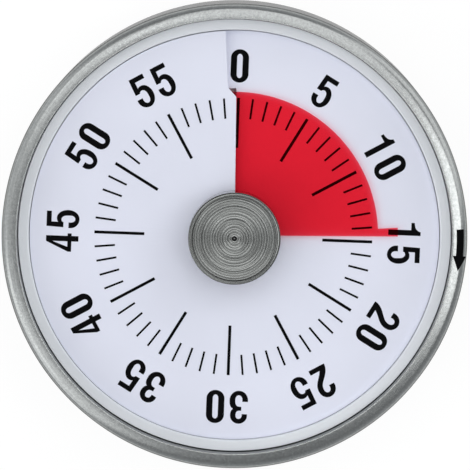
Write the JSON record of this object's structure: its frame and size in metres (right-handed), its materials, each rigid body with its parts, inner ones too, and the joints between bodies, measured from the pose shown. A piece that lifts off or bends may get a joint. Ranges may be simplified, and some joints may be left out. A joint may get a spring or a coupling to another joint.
{
  "type": "visual countdown timer",
  "caption": "Round wind-up countdown timer: steel case, screw-ramp dial with a slit, a red film disc that shows the minutes left, and a central turned knob.",
  "frame": {"origin": "centre of the resting face on the back", "axes": "+Z out of the dial, +Y towards 12 o'clock, +X towards 3 o'clock"},
  "size_m": [0.08, 0.08, 0.031],
  "materials": {
    "case_steel": "brushed",
    "bezel_white": "gloss",
    "dial_white": "satin",
    "tray_white": "moulded",
    "brass": "machined",
    "black_plastic": "fine texture",
    "screw_steel": "machined",
    "magnet_nickel": "satin plated",
    "foot_rubber": "matte",
    "spring_steel": "blued",
    "bell_steel": "plated",
    "arbor_steel": "turned",
    "cam_plastic": "moulded",
    "knob_steel": "turned, concentric lines",
    "red_film": "translucent film"
  },
  "bodies": {
    "case": {"case_shell": "case_steel", "bezel_ring": "bezel_white", "dial_plate": "dial_white", "dial_tray": "tray_white", "arbor_bush": "brass", "rear_cover": "black_plastic", "cover_screws": "screw_steel", "magnets": "magnet_nickel", "foot_ring": "foot_rubber", "front_plate": "brass", "back_plate": "brass", "pillars": "brass", "movement_screws": "screw_steel", "plate_screws": "screw_steel", "spring_studs": "screw_steel", "mainspring": "spring_steel", "hairspring": "spring_steel", "hammer_spring": "spring_steel", "bell": "bell_steel", "bell_post": "screw_steel", "bell_screw": "screw_steel"},
    "arbor": {"main_arbor": "arbor_steel", "arbor_clip": "spring_steel", "clutch_washer": "brass", "trip_cam": "cam_plastic", "knob_core": "black_plastic", "knob": "knob_steel"},
    "disc": {"disc_hub": "tray_white", "red_disc": "red_film"},
    "great": {"great_wheel": "brass"},
    "second": {"second_wheel": "brass", "second_pinion": "arbor_steel"},
    "third": {"third_wheel": "brass", "third_pinion": "arbor_steel"},
    "fourth": {"fourth_wheel": "brass", "fourth_pinion": "arbor_steel"},
    "escape": {"escape_wheel": "brass", "escape_pinion": "arbor_steel"},
    "pallet": {"pallet_lever": "arbor_steel", "pallet_arbor": "arbor_steel"},
    "balance": {"balance_wheel": "brass", "balance_staff": "arbor_steel"},
    "hammer": {"hammer_arbor": "arbor_steel", "hammer_arm": "arbor_steel", "hammer_head": "brass"}
  },
  "joints": [
    {"name": "knob_turn", "type": "hinge", "parent": "case", "child": "arbor", "pos_m": [0, 0, 0.02], "axis": [0, 0, -1], "range_deg": [-88.2, 271.8]},
    {"name": "disc_climb", "type": "slide", "parent": "arbor", "child": "disc", "axis": [0, 0, 1], "range_m": [-0.0004, 0.00122]},
    {"name": "third_turn", "type": "hinge", "parent": "case", "child": "third", "pos_m": [-0.02279, 0.00056, 0.013], "axis": [0, 0, 1], "continuous": true},
    {"name": "great_turn", "type": "hinge", "parent": "case", "child": "great", "pos_m": [0, 0, 0.013], "axis": [0, 0, 1], "continuous": true},
    {"name": "second_turn", "type": "hinge", "parent": "case", "child": "second", "pos_m": [-0.01516, 0.00875, 0.013], "axis": [0, 0, 1], "continuous": true},
    {"name": "fourth_turn", "type": "hinge", "parent": "case", "child": "fourth", "pos_m": [-0.02063, -0.0088, 0.013], "axis": [0, 0, 1], "continuous": true},
    {"name": "escape_turn", "type": "hinge", "parent": "case", "child": "escape", "pos_m": [-0.01663, -0.01572, 0.013], "axis": [0, 0, 1], "continuous": true},
    {"name": "pallet_rock", "type": "hinge", "parent": "case", "child": "pallet", "pos_m": [-0.01203, -0.01987, 0.013], "axis": [0, 0, 1], "range_deg": [-4, 4]},
    {"name": "balance_swing", "type": "hinge", "parent": "case", "child": "balance", "pos_m": [-0.00445, -0.02373, 0.013], "axis": [0, 0, 1], "range_deg": [-150, 150], "stiffness_Nm_per_rad": 0.00002},
    {"name": "hammer_swing", "type": "hinge", "parent": "case", "child": "hammer", "pos_m": [0.01682, -0.00358, 0.013], "axis": [0, 0, 1], "range_deg": [-4, 4], "stiffness_Nm_per_rad": 0.002}
  ],
  "couplings": [
    {"joint": "disc_climb", "follows": "knob_turn", "m_per_rad": 0.00025465},
    {"joint": "great_turn", "follows": "third_turn", "ratio": 0.027778},
    {"joint": "second_turn", "follows": "third_turn", "ratio": -0.16667},
    {"joint": "fourth_turn", "follows": "third_turn", "ratio": -5},
    {"joint": "escape_turn", "follows": "third_turn", "ratio": 20}
  ]
}
